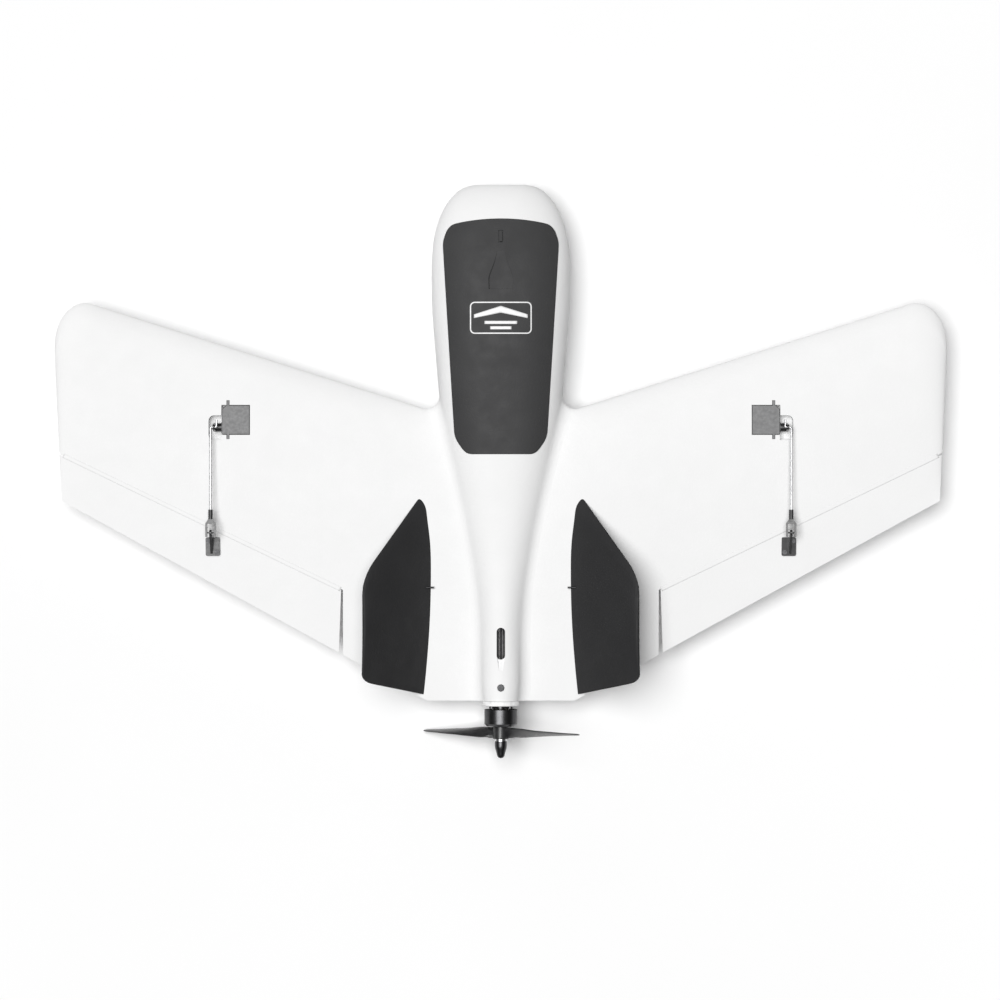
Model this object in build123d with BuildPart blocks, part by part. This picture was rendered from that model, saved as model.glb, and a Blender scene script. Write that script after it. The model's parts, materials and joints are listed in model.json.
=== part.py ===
"""Radio-controlled flying wing: a forward-swept foam pusher with a blended body, two canted
fins, full-span-outboard elevons and a two-blade propeller.

Frame, in millimetres: +Z up, nose towards -Y, port wing towards +X. The origin is under the
middle of the object's box, on the surface that the belly rests on.
"""

from build123d import *
import math
import os

# ---------------------------------------------------------------- driving dimensions
SPAN = 635.0
LENGTH = 407.6  # nose to spinner tip
NOSE_Y = -LENGTH / 2
TAIL_Y = 163.0  # aft end of the foam
WING_Z = 30.0  # chord plane of the wing
MOTOR_Z = 35.0  # thrust line
SKID = 0.8  # thickness of the belly skid plate
FIT = 0.05  # glued and taped pieces sit this far apart
GAP = 0.25  # each side of a moving foam edge

# wing planform and sections
JOINT_X = 60.0  # where a wing panel meets the body
KINK_X = 52.6  # the trailing edge turns square here
ROOT_DEPTH, TIP_DEPTH = 21.0, 14.0
ROOT_FILLET = 9.0
TIP_START_X = 289.6
EDGE = 1.6  # thickness of the foam trailing edge
CAMBER = 0.012
FOIL_STEPS = 9

# elevon and its linkage
ELEVON_IN_X = 113.2  # inboard end of the elevon
ELEVON_GAP = 1.0
END_TAPER = 2.4  # the gap's extra width at the trailing edge
HINGE_IN = (112.7, 84.2)
HINGE_OUT = (314.7, -13.1)
HINGE_SINK = 0.8  # hinge axis below the upper skin
BEVEL = math.radians(25)
ROD_X = 205.6  # the pushrod's plane
HORN_Y = 43.5  # the clevis pin
HORN_RISE = 12.0  # clevis pin above the hinge axis
ROD_R = 0.75
SERVO_Y = -31.3  # output shaft

# equipment bay and hatch
LEDGE_Z = 41.0
BAY_FLOOR_Z = 7.0
BAY_WALL = 6.5
SHELL = 5.0
HATCH_FRONT = -178.8
HATCH_GAP = 0.25
HATCH_REAR = -12.0
MAGNET_R, MAGNET_H = 2.3, 2.0
HATCH_MAGNETS = [(0, -175.4), (-14, -15.3), (14, -15.3)]
INLET_FRONT, INLET_REAR = -155.8, -128.5
INLET_NECK, INLET_THROAT = 2.7, 8.4  # half widths
INLET_RAMP_Z = 56.6
RIDGE_Y, RIDGE_Z, RIDGE_TILT = -165.8, 54.8, 12.6
RIDGE_L, RIDGE_W, RIDGE_H = 7.5, 1.8, 2.0

# cooling duct, its slot, and the motor plug at the tail
DUCT_R = 5.0
SLOT_WIDTH, SLOT_FRONT, SLOT_REAR, RAMP_REAR = 6.0, 110.7, 133.4, 143.4
PLUG_R, PLUG_BORE_R, PLUG_FRONT = 9.0, 7.2, 148.0
FLANGE_REAR = 166.6
LOCK_Y, LOCK_R, LOCK_HEAD_R, LOCK_SEAT_Z = 153.4, 1.2, 2.4, 45.6

# spars: (y, radius) of the main and the rear one
SPARS = [(2.0, 2.5), (60.0, 1.5)]
SPAR_REACH = [150.0, 90.0]  # each side of the centreline
SPAR_Z = 27.0

# servo, lying on its side with its shaft pointing outboard
SERVO_IN_X, SERVO_OUT_X = 178.3, 198.0
SERVO_FRONT, SERVO_REAR = -46.9, -26.2
SERVO_TOP, SERVO_LOW = 40.0, 31.5
SERVO_MID = (SERVO_TOP + SERVO_LOW) / 2
EAR_X, EAR_FRONT, EAR_REAR = 193.6, -50.5, -22.9
ARM_SLOT_OUT, ARM_SLOT_FRONT, ARM_SLOT_REAR = 207.4, -39.8, -22.3
ARM_RADIUS = 10.8
ARM_PLATE_X, ARM_PLATE = 202.4, 1.6
LEAD_R = 1.5

# clevis and control horn
CLEVIS_FRONT, FORK_FRONT, FORK_REAR = 27.1, 33.9, 46.4
FORK_GAP, FORK_H = 4.5, 3.2
CLEVIS_PIN_R, HORN_HOLE_R = 0.5, 0.95
HORN_BASE, HORN_BLADE = 1.3, 1.6
HORN_FOOT_Z = 34.5
HORN_SCREWS = [(207.6, 49.2), (201.6, 57.4)]
HORN_SCREW_R = 0.9

# fins: nose and tail points below the skin and at the tip of the port fin
FIN_NOSE_LOW, FIN_NOSE_HIGH = (42.2, -3.5, 26.0), (97.0, 74.4, 80.0)
FIN_TAIL_LOW, FIN_TAIL_HIGH = (51.5, 159.5, 26.0), (97.0, 147.8, 80.0)
FIN_DEPTH_LOW, FIN_DEPTH_HIGH = 12.0, 4.6
FIN_BOW = 2.0
FIN_ROUND = 0.86  # the tip starts to round here
FIN_PIN_OUT, FIN_PIN_IN = (60.0, 82.4, 42.0), (47.4, 82.4, 42.0)

# motor, from the tail aft
MOUNT_SCREW_PCR = 8.0
BASE_FRONT, BASE_REAR = 166.65, 168.1
TUBE_R, TUBE_REAR = 4.0, 177.4
BEARING_R, SHAFT_R = 2.9, 1.5
STATOR_FRONT, STATOR_H, TEETH, POLES = 170.6, 5.6, 9, 12
BELL_FRONT, BELL_REAR, BELL_R = 168.9, 180.9, 11.75
MAGNET_RING_R = 10.8
HUB_FRONT, HUB_REAR, HUB_R = 181.0, 190.1, 5.6
BLADE_Y = 185.5
PROP_SHAFT_R = 2.4
SPINNER_FRONT, SPINNER_R, TAIL_END = 191.6, 4.3, LENGTH / 2
PROP_PITCH = 76.0
# (radius, chord, depth) of a blade's sections
BLADE_SECTIONS = [
    (3.5, 7.0, 4.2),
    (9.0, 9.0, 3.2),
    (16.0, 11.4, 2.5),
    (26.0, 12.4, 2.1),
    (38.0, 11.6, 1.8),
    (49.0, 9.6, 1.5),
    (58.0, 7.0, 1.2),
    (62.2, 4.4, 1.0),
    (63.5, 2.0, 0.7),
]

# equipment
BATTERY_L, BATTERY_W, BATTERY_AFT, BATTERY_TOP = 75.0, 35.0, -93.0, 32.0
PLUG_Y = -76.0
ESC_X, ESC_FRONT, ESC_AFT = 20.0, -62.0, -44.0
RECEIVER_AFT, RECEIVER_TOP = -46.0, 17.0

# (y, half width, top z, bottom z, upper exponent, lower exponent) of the body's sections
BODY_STATIONS = [
    (NOSE_Y, 17.0, 33.5, 18.5, 2.5, 2.8),
    (-200.8, 28.5, 39.5, 12.0, 2.5, 3.0),
    (-191.9, 37.6, 46.2, 6.0, 2.5, 3.2),
    (-178.0, 44.5, 51.8, 2.0, 2.5, 3.2),
    (-160.0, 48.3, 56.0, 0.0, 2.5, 3.2),
    (-130.0, 49.1, 59.2, -1.2, 2.5, 3.2),
    (-95.0, 47.3, 60.2, -1.5, 2.5, 3.2),
    (-55.0, 43.9, 58.8, -1.5, 2.5, 3.2),
    (-15.0, 38.8, 56.6, -1.2, 2.4, 3.1),
    (29.6, 30.6, 53.8, 2.2, 2.3, 2.8),
    (74.6, 21.2, 50.9, 10.0, 2.1, 2.4),
    (119.5, 15.2, 48.6, 18.4, 2.0, 2.1),
    (TAIL_Y, 12.3, 47.3, 22.7, 2.0, 2.0),
]

# (leading edge x, y, trailing edge x, y, depth) of the rounded wing tip's sections
TIP_SECTIONS = [
    (299.5, -119.3, 297.0, 29.4, 13.6),
    (307.2, -115.2, 303.0, 26.1, 12.2),
    (312.8, -108.3, 307.5, 23.6, 9.9),
    (316.2, -99.5, 310.6, 21.9, 6.6),
    (SPAN / 2, -88.0, 312.3, 21.0, 2.2),
]

pieces = {}


# ---------------------------------------------------------------- shared geometry
def leading_edge(x):
    return -43.0 - 0.3142 * (x - 49.0)


def trailing_edge(x):
    return TAIL_Y - 0.5472 * max(x - KINK_X, 0.0)


def depth_at(x):
    """The wing's greatest thickness at a distance x from the centreline."""
    return ROOT_DEPTH + (TIP_DEPTH - ROOT_DEPTH) * max(x - KINK_X, 0) / (300.0 - KINK_X)


def half_thickness(u, depth):
    curve = 0.2969 * math.sqrt(u) - 0.1260 * u - 0.3516 * u**2 + 0.2843 * u**3 - 0.1036 * u**4
    return 5 * depth * curve + EDGE / 2 * u


def camber_height(u, chord):
    return 4 * CAMBER * chord * u * (1 - u) * (1 - 0.9 * u)


def skin_z(x, y, side=1):
    """Height of the wing's upper (side 1) or lower (side -1) skin."""
    chord = trailing_edge(x) - leading_edge(x)
    u = (y - leading_edge(x)) / chord
    return WING_Z + camber_height(u, chord) + side * half_thickness(u, depth_at(x))


def foil_outline(chord, depth, bow=0.0, whole=False):
    """Draws a section in its plane: two skins, or one whole skin, and a blunt trailing edge."""
    upper, lower = [], []
    for k in range(FOIL_STEPS + 1):
        u = (1 - math.cos(math.pi * k / FOIL_STEPS)) / 2
        mean = camber_height(u, chord) if bow == 0 else 4 * bow * u * (1 - u)
        upper.append(Vector(u * chord, mean + half_thickness(u, depth)))
        lower.append(Vector(u * chord, mean - half_thickness(u, depth)))
    if whole:
        Spline(*upper[::-1], *lower[1:])
    else:
        Spline(*upper, tangents=[(0, 1), upper[-1] - upper[-2]])
        Spline(*lower, tangents=[(0, -1), lower[-1] - lower[-2]])
    Line(upper[-1], lower[-1])


def foil_plane(nose, tail):
    """The upright plane through a section's nose and tail points, and the chord."""
    along = Vector(tail[0] - nose[0], tail[1] - nose[1], 0)
    plane = Plane(
        origin=(nose[0], nose[1], WING_Z), x_dir=along, z_dir=along.cross(Vector(0, 0, 1))
    )
    return plane, along.length


def body_points(width, top, bottom, n_top, n_bottom, count=24):
    """A closed rounded section, starting at the keel."""
    middle, rise = (top + bottom) / 2, (top - bottom) / 2
    points = []
    for k in range(count):
        angle = 2 * math.pi * k / count - math.pi / 2
        across, up = math.cos(angle), math.sin(angle)
        power = 2 / (n_top if up >= 0 else n_bottom)
        points.append(
            (
                width * math.copysign(abs(across) ** power, across),
                middle + rise * math.copysign(abs(up) ** power, up),
            )
        )
    return points


def keep(label, piece):
    piece.label = label
    pieces[label] = piece


def keep_pair(name, piece):
    """Keeps a port piece and its mirror image for the starboard side."""
    with BuildPart() as other:
        mirror(piece, about=Plane.YZ)
    keep(f"port_{name}", piece)
    keep(f"starboard_{name}", other.part)


def block(low, high, mode=Mode.ADD):
    """A box between two opposite corners."""
    with Locations(tuple((a + b) / 2 for a, b in zip(low, high))):
        Box(*[b - a for a, b in zip(low, high)], mode=mode)


def bar(start, end, radius, mode=Mode.ADD):
    """A round bar from one point to another."""
    start, end = Vector(*start), Vector(*end)
    with Locations(Plane(origin=(start + end) / 2, z_dir=end - start)):
        Cylinder(radius, (end - start).length, mode=mode)


def thrust_bar(start_y, end_y, radius, mode=Mode.ADD):
    """A round bar on the motor's axis."""
    bar((0, start_y, MOTOR_Z), (0, end_y, MOTOR_Z), radius, mode)


def bend_radii(route):
    """The largest comfortable bend at each inner corner of a wire's route."""
    radii = []
    for before, corner, after in zip(route, route[1:], route[2:]):
        first = Vector(*corner) - Vector(*before)
        second = Vector(*after) - Vector(*corner)
        half_turn = math.radians(first.get_angle(second)) / 2
        radii.append(0.45 * min(first.length, second.length) / math.tan(half_turn))
    return radii


def skin_plane(x, y, side):
    """The plane that touches the wing's skin at a point, facing outwards."""
    step = 1.0
    z = skin_z(x, y, side)
    across = Vector(step, 0, skin_z(x + step, y, side) - z)
    along = Vector(0, step, skin_z(x, y + step, side) - z)
    return Plane(origin=(x, y, z), x_dir=across, z_dir=across.cross(along) * side)


# ---------------------------------------------------------------- foam blanks
with BuildPart() as body_blank:
    for y, *section in BODY_STATIONS:
        with BuildSketch(Plane.XZ.offset(-y)):
            with BuildLine():
                Spline(*body_points(*section), periodic=True)
            make_face()
    loft()

with BuildPart() as hatch_core:
    for y, width, top, _, *powers in BODY_STATIONS[1:11]:
        with BuildSketch(Plane.XZ.offset(-y)):
            with BuildLine():
                outline = body_points(width - SHELL, top - SHELL, BAY_FLOOR_Z, *powers)
                Spline(*outline, periodic=True)
            make_face()
    loft()

with BuildPart() as centre_wing:
    for x in (-JOINT_X, -KINK_X, 0, KINK_X, JOINT_X):
        across = abs(x)
        plane, chord = foil_plane((x, leading_edge(across)), (x, trailing_edge(across)))
        with BuildSketch(plane):
            with BuildLine():
                foil_outline(chord, depth_at(across), whole=True)
            make_face()
    loft(ruled=True)

with BuildPart() as airframe_blank:
    add(body_blank.part)
    add(centre_wing.part)
    roots = new_edges(body_blank.part, centre_wing.part, combined=airframe_blank.part)
    fillet(roots.filter_by(lambda e: e.length > 100), radius=ROOT_FILLET)
    split(bisect_by=Plane.XY.offset(SKID), keep=Keep.TOP)

with BuildPart() as panel_blank:
    for x in (JOINT_X, TIP_START_X):
        plane, chord = foil_plane((x, leading_edge(x)), (x, trailing_edge(x)))
        with BuildSketch(plane):
            with BuildLine():
                foil_outline(chord, depth_at(x), whole=True)
            make_face()
    loft(ruled=True)

with BuildPart() as tip_blank:
    inboard = (TIP_START_X, leading_edge(TIP_START_X), TIP_START_X, trailing_edge(TIP_START_X))
    for nose_x, nose_y, tail_x, tail_y, depth in [(*inboard, depth_at(TIP_START_X))] + TIP_SECTIONS:
        plane, chord = foil_plane((nose_x, nose_y), (tail_x, tail_y))
        with BuildSketch(plane):
            with BuildLine():
                foil_outline(chord, depth, whole=True)
            make_face()
    loft()

with BuildPart() as wing_blank:
    add(panel_blank.part)
    add(tip_blank.part)


# ---------------------------------------------------------------- body, bay and hatch
def hatch_outline(inset):
    """Half of the hatch's outline, from the nose end of the centreline to the tail end."""
    return [
        (0, HATCH_FRONT + inset),
        (31.3 - 0.8 * inset, -175.6 + inset),
        (39.8 - inset, -166.9 + 0.6 * inset),
        (41.1 - inset, -159.0),
        (33.2 - inset, -28.7),
        (28.3 - 0.8 * inset, -17.1 - 0.7 * inset),
        (20.0 - 0.5 * inset, HATCH_REAR - inset),
        (0, HATCH_REAR - inset),
    ]


prisms = []
for inset, low_z in [(0, LEDGE_Z), (HATCH_GAP, LEDGE_Z + FIT)]:
    with BuildPart() as prism:
        with BuildSketch(Plane.XY.offset(low_z)):
            with BuildLine():
                rim = hatch_outline(inset)
                ThreePointArc((-rim[1][0], rim[1][1]), rim[0], rim[1])
                Spline(*rim[1:4], tangents=[(1, 0.2), (-0.06, 1)])
                Line(*rim[3:5])
                Spline(*rim[4:7], tangents=[(-0.06, 1), (-1, 0)])
                Line(rim[6], (-rim[6][0], rim[6][1]))
                mirror(about=Plane.YZ)
            make_face()
        extrude(amount=40)
    prisms.append(prism.part)
seat_prism, hatch_prism = prisms

with BuildPart() as bay_prism:
    with BuildSketch(Plane.XY.offset(BAY_FLOOR_Z)):
        with BuildLine():
            rim = hatch_outline(BAY_WALL)
            Polyline(rim[0], *rim[1:])
            mirror(about=Plane.YZ)
        make_face()
    extrude(amount=60)
    fillet(bay_prism.edges().filter_by(Axis.Z).filter_by(lambda e: abs(e.center().X) > 5), radius=4)

with BuildPart() as hatch_hollow:
    add(bay_prism.part)
    add(hatch_core.part, mode=Mode.INTERSECT)

with BuildPart() as hatch:
    add(airframe_blank.part)
    add(hatch_prism, mode=Mode.INTERSECT)
    add(hatch_hollow.part, mode=Mode.SUBTRACT)
    # the air inlet: a shallow ramp that widens and deepens aft
    with BuildPart(mode=Mode.PRIVATE) as inlet:
        with BuildSketch(Plane.XY.offset(LEDGE_Z)):
            with BuildLine():
                Line((-INLET_NECK, INLET_FRONT), (INLET_NECK, INLET_FRONT))
                Spline(
                    (INLET_NECK, INLET_FRONT),
                    (5.4, INLET_FRONT + 10),
                    (INLET_THROAT, INLET_FRONT + 18),
                    (INLET_THROAT + 0.2, INLET_REAR),
                    tangents=[(0.2, 1), (0, 1)],
                )
                Line((INLET_THROAT + 0.2, INLET_REAR), (-INLET_THROAT - 0.2, INLET_REAR))
                Spline(
                    (-INLET_THROAT - 0.2, INLET_REAR),
                    (-INLET_THROAT, INLET_FRONT + 18),
                    (-5.4, INLET_FRONT + 10),
                    (-INLET_NECK, INLET_FRONT),
                    tangents=[(0, -1), (0.2, -1)],
                )
            make_face()
        extrude(amount=40)
        with BuildSketch(Plane.YZ) as ramp:
            Polygon(
                (INLET_FRONT - 3, 56.6),
                (INLET_REAR, INLET_RAMP_Z),
                (INLET_REAR, 80),
                (INLET_FRONT - 3, 80),
                align=None,
            )
        extrude(ramp.sketch, amount=20, both=True, mode=Mode.INTERSECT)
    add(inlet.part, mode=Mode.SUBTRACT)
    # the finger ridge, in a shallow dish that follows the sloping skin
    with Locations(Location((0, RIDGE_Y, RIDGE_Z), (RIDGE_TILT, 0, 0))):
        Box(RIDGE_W + 1.8, RIDGE_L + 1.8, 1.6, mode=Mode.SUBTRACT)
        Box(RIDGE_W, RIDGE_L, RIDGE_H)
    for x, y in HATCH_MAGNETS:
        bar((x, y, LEDGE_Z - 1), (x, y, LEDGE_Z + MAGNET_H), MAGNET_R + FIT, Mode.SUBTRACT)
keep("hatch", hatch.part)

for label, low_z in [("hatch_magnets", LEDGE_Z + FIT), ("seat_magnets", LEDGE_Z - MAGNET_H)]:
    with BuildPart() as magnets:
        for x, y in HATCH_MAGNETS:
            bar((x, y, low_z), (x, y, low_z + MAGNET_H - FIT), MAGNET_R)
    keep(label, magnets.part)


# ---------------------------------------------------------------- equipment routes
def phase_route(k):
    """A motor wire, from the speed controller through the tail duct to the windings."""
    return [
        (ESC_X + 3 * k, ESC_AFT, 12.0),
        (ESC_X - 4 + 3 * k, ESC_AFT + 7, 13.0),
        (2.6 * k, -21.0, MOTOR_Z),
        (2.4 * k, 142.0, MOTOR_Z),
        (2.2 * k, 160.0, 30.2),
        (1.9 * k, 168.4, 29.2),
    ]


SERVO_LEAD = [
    (SERVO_IN_X - FIT, -36.5, 33.0),
    (22.0, -30.8, 28.5),
    (9.0, -38.0, 26.0),
    (5.5, -47.0, 21.5),
    (5.5, -52.0, RECEIVER_TOP),
]
BATTERY_LEAD = [
    (9.0, BATTERY_AFT, 22.0),
    (10.0, BATTERY_AFT + 6, 21.0),
    (13.0, PLUG_Y - 6, 17.5),
]
ESC_POWER = [(13.0, PLUG_Y + 6, 17.5), (16.0, ESC_FRONT - 4, 15.5), (19.0, ESC_FRONT, 12.0)]

with BuildPart() as fuselage:
    add(airframe_blank.part)
    add(seat_prism, mode=Mode.SUBTRACT)
    with BuildPart(mode=Mode.PRIVATE) as bay:
        add(bay_prism.part)
        block((-60, -200, BAY_FLOOR_Z - 1), (60, 0, LEDGE_Z), Mode.INTERSECT)
    add(bay.part, mode=Mode.SUBTRACT)
    for x, y in HATCH_MAGNETS:
        bar((x, y, LEDGE_Z - MAGNET_H), (x, y, LEDGE_Z + 1), MAGNET_R + FIT, Mode.SUBTRACT)
    thrust_bar(HATCH_REAR - BAY_WALL - 2, TAIL_Y + 1, DUCT_R, Mode.SUBTRACT)
    bar((0, HATCH_REAR - BAY_WALL - 4, MOTOR_Z - 6.5), (0, -4, MOTOR_Z), DUCT_R, Mode.SUBTRACT)
    thrust_bar(PLUG_FRONT - FIT, TAIL_Y + 1, PLUG_R + FIT, Mode.SUBTRACT)
    for y, radius in SPARS:
        bar((-JOINT_X - 1, y, SPAR_Z), (JOINT_X + 1, y, SPAR_Z), radius + FIT, Mode.SUBTRACT)
    for side in (-1, 1):
        start, end = SERVO_LEAD[0], SERVO_LEAD[1]
        bar((side * start[0], *start[1:]), (side * end[0], *end[1:]), LEAD_R + 0.5, Mode.SUBTRACT)
    # cooling slot into the duct, with a ramp behind it
    with BuildSketch(Plane.XY.offset(MOTOR_Z)):
        with Locations((0, (SLOT_FRONT + SLOT_REAR) / 2)):
            SlotOverall(SLOT_REAR - SLOT_FRONT, SLOT_WIDTH, rotation=90)
    extrude(amount=20, mode=Mode.SUBTRACT)
    with BuildPart(mode=Mode.PRIVATE) as slot_ramp:
        for share, half in ((0, SLOT_WIDTH / 2), (1, 0.9)):
            with BuildSketch(Plane.XZ.offset(-(SLOT_REAR - 3 + share * (RAMP_REAR - SLOT_REAR + 3)))):
                floor_z = 44.5 + share * 3.4
                with Locations((0, floor_z + 5)):
                    Rectangle(2 * half, 10)
        loft()
    add(slot_ramp.part, mode=Mode.SUBTRACT)
    bar((0, LOCK_Y, LOCK_SEAT_Z), (0, LOCK_Y, 60), LOCK_HEAD_R + 0.25, Mode.SUBTRACT)
    bar((0, LOCK_Y, MOTOR_Z), (0, LOCK_Y, 60), LOCK_R + FIT, Mode.SUBTRACT)
keep("fuselage", fuselage.part)

for label, (y, radius), reach in zip(("main_spar", "rear_spar"), SPARS, SPAR_REACH):
    with BuildPart() as spar:
        bar((-reach, y, SPAR_Z), (reach, y, SPAR_Z), radius)
        bar((-reach, y, SPAR_Z), (reach, y, SPAR_Z), radius - 1, Mode.SUBTRACT)
    keep(label, spar.part)

with BuildPart() as belly_skid_plate:
    with BuildSketch():
        with Locations((0, -75)):
            RectangleRounded(44, 150, 12)
    extrude(amount=SKID - FIT)
keep("belly_skid_plate", belly_skid_plate.part)


# ---------------------------------------------------------------- wing panels and elevons
def hinge_point(x):
    """The point of the port elevon's hinge axis at a distance x from the centreline."""
    share = (x - HINGE_IN[0]) / (HINGE_OUT[0] - HINGE_IN[0])
    y = HINGE_IN[1] + share * (HINGE_OUT[1] - HINGE_IN[1])
    inner_z = skin_z(*HINGE_IN) - HINGE_SINK
    outer_z = skin_z(*HINGE_OUT) - HINGE_SINK
    return Vector(x, y, inner_z + share * (outer_z - inner_z))


HINGE_DIR = (hinge_point(HINGE_OUT[0]) - hinge_point(HINGE_IN[0])).normalized()
SWEEP = math.atan2(-HINGE_DIR.Y, HINGE_DIR.X)


def behind_hinge(x, gap, lean):
    """Points of the space behind the hinge at x: a wall above the axis, a bevel below it."""
    start = hinge_point(x)
    points = [(gap, 25), (gap, 0), (gap + lean * 25 * math.tan(BEVEL), -25), (200, -25), (200, 25)]
    return [(start.Y + aft / math.cos(SWEEP), start.Z + up) for aft, up in points]


with BuildPart() as elevon:
    add(wing_blank.part)
    with BuildSketch(Plane.YZ.offset(ELEVON_IN_X)) as behind:
        Polygon(*behind_hinge(ELEVON_IN_X, GAP, 1), align=None)
    extrude(behind.sketch, amount=260, dir=HINGE_DIR, mode=Mode.INTERSECT)
    # the inboard end leans away from the panel, because the swept hinge carries it inboard
    with BuildSketch() as end_taper:
        Polygon(
            (ELEVON_IN_X - 5, HINGE_IN[1] - 8),
            (ELEVON_IN_X, HINGE_IN[1] - 8),
            (ELEVON_IN_X + END_TAPER, HINGE_IN[1] + 55),
            (ELEVON_IN_X - 5, HINGE_IN[1] + 55),
            align=None,
        )
    extrude(end_taper.sketch, amount=60, mode=Mode.SUBTRACT)
    for x, y in HORN_SCREWS:
        bar((x, y, 10), (x, y, 60), HORN_SCREW_R + FIT, Mode.SUBTRACT)
keep_pair("elevon", elevon.part)

with BuildPart() as wing_panel:
    add(wing_blank.part)
    with BuildSketch(Plane.YZ.offset(ELEVON_IN_X - ELEVON_GAP)) as cut:
        Polygon(*behind_hinge(ELEVON_IN_X - ELEVON_GAP, -GAP, -1), align=None)
    extrude(cut.sketch, amount=260, dir=HINGE_DIR, mode=Mode.SUBTRACT)
    for (y, radius), reach in zip(SPARS, SPAR_REACH):
        bar((JOINT_X - 1, y, SPAR_Z), (reach + FIT, y, SPAR_Z), radius + FIT, Mode.SUBTRACT)
    bar(SERVO_LEAD[0], SERVO_LEAD[1], LEAD_R + 0.5, Mode.SUBTRACT)
    # servo pocket, the pockets of its ears and the slot that its arm swings in
    block(
        (SERVO_IN_X - 0.3, SERVO_FRONT - 0.3, SERVO_LOW - FIT),
        (SERVO_OUT_X + 0.3, SERVO_REAR + 0.3, 60),
        Mode.SUBTRACT,
    )
    block((EAR_X - 1.1, EAR_FRONT, SERVO_LOW - FIT), (EAR_X + 1.1, EAR_REAR, 60), Mode.SUBTRACT)
    with BuildPart(mode=Mode.PRIVATE) as arm_slot:
        block((SERVO_OUT_X, ARM_SLOT_FRONT, SERVO_LOW), (ARM_SLOT_OUT, ARM_SLOT_REAR, 60))
        fillet(
            arm_slot.edges().filter_by(Axis.Z).group_by(Axis.X)[-1],
            radius=4,
        )
    add(arm_slot.part, mode=Mode.SUBTRACT)
keep_pair("wing_panel", wing_panel.part)

# ---------------------------------------------------------------- servos and their linkages
with BuildPart() as servo:
    block((SERVO_IN_X, SERVO_FRONT, SERVO_LOW), (SERVO_OUT_X, SERVO_REAR, SERVO_TOP))
    chamfer(
        servo.edges().filter_by(Axis.Z).filter_by(
            lambda e: e.center().X > SERVO_OUT_X - 1 and e.center().Y < SERVO_Y - 5
        ),
        length=3.0,
    )
    fillet(servo.faces().sort_by(Axis.Z)[-1].edges(), radius=0.5)
    block((EAR_X - 0.8, EAR_FRONT + 0.2, SERVO_LOW), (EAR_X + 0.8, EAR_REAR - 0.2, SERVO_TOP))
    for y in (EAR_FRONT + 1.9, EAR_REAR - 1.9):
        bar((EAR_X - 2, y, SERVO_MID), (EAR_X + 2, y, SERVO_MID), 0.9, Mode.SUBTRACT)
    bar((SERVO_OUT_X - 1, SERVO_Y, SERVO_MID), (SERVO_OUT_X + 0.5, SERVO_Y, SERVO_MID), 3.6)
    bar((SERVO_OUT_X, SERVO_Y, SERVO_MID), (SERVO_OUT_X + 3.2, SERVO_Y, SERVO_MID), 1.9)
keep_pair("servo", servo.part)

with BuildPart() as servo_lead:
    with BuildLine() as wire:
        FilletPolyline(*SERVO_LEAD, radius=bend_radii(SERVO_LEAD))
    with BuildSketch(Plane(origin=wire.line @ 0, z_dir=wire.line % 0)):
        Circle(LEAD_R)
    sweep()
keep_pair("servo_lead", servo_lead.part)

ARM_IN = SERVO_OUT_X + 0.7
ARM_PIN_Z = SERVO_MID + ARM_RADIUS
with BuildPart() as servo_arm:
    with BuildSketch(Plane.YZ.offset(ARM_PLATE_X)) as plate:
        with BuildLine():
            Polyline(
                (SERVO_Y - 2.9, SERVO_MID),
                (SERVO_Y - 1.9, ARM_PIN_Z),
                (SERVO_Y + 1.9, ARM_PIN_Z),
                (SERVO_Y + 2.9, SERVO_MID),
                close=True,
            )
        make_face()
        with Locations((SERVO_Y, ARM_PIN_Z)):
            Circle(1.9)
    extrude(amount=ARM_PLATE)
    bar((ARM_IN, SERVO_Y, SERVO_MID), (ARM_PLATE_X + ARM_PLATE, SERVO_Y, SERVO_MID), 3.0)
    bar((ARM_IN - 1, SERVO_Y, SERVO_MID), (SERVO_OUT_X + 3.4, SERVO_Y, SERVO_MID), 1.95, Mode.SUBTRACT)
    bar((ARM_IN, SERVO_Y, SERVO_MID), (ROD_X + 3, SERVO_Y, SERVO_MID), 0.8, Mode.SUBTRACT)
    for z in (ARM_PIN_Z, ARM_PIN_Z - 3.2):
        bar((ARM_IN, SERVO_Y, z), (ROD_X + 3, SERVO_Y, z), ROD_R + 0.1, Mode.SUBTRACT)
keep_pair("servo_arm", servo_arm.part)

with BuildPart() as arm_screw:
    head_x = ARM_PLATE_X + ARM_PLATE
    bar((SERVO_OUT_X + 3.25, SERVO_Y, SERVO_MID), (head_x + FIT, SERVO_Y, SERVO_MID), 0.75)
    bar((head_x + FIT, SERVO_Y, SERVO_MID), (head_x + 0.9, SERVO_Y, SERVO_MID), 1.5)
keep_pair("arm_screw", arm_screw.part)

HORN_PIN_Z = hinge_point(ROD_X).Z + HORN_RISE
ROD_ROUTE = [
    (ARM_PLATE_X - 1.0, SERVO_Y - 5.3, ARM_PIN_Z),
    (ARM_PLATE_X - 1.0, SERVO_Y, ARM_PIN_Z),
    (ROD_X, SERVO_Y, ARM_PIN_Z),
    (ROD_X, CLEVIS_FRONT + 5.5, HORN_PIN_Z),
]
with BuildPart() as pushrod:
    with BuildLine() as wire:
        FilletPolyline(*ROD_ROUTE, radius=0.95)
    with BuildSketch(Plane(origin=wire.line @ 0, z_dir=wire.line % 0)):
        Circle(ROD_R)
    sweep()
keep_pair("pushrod", pushrod.part)

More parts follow.
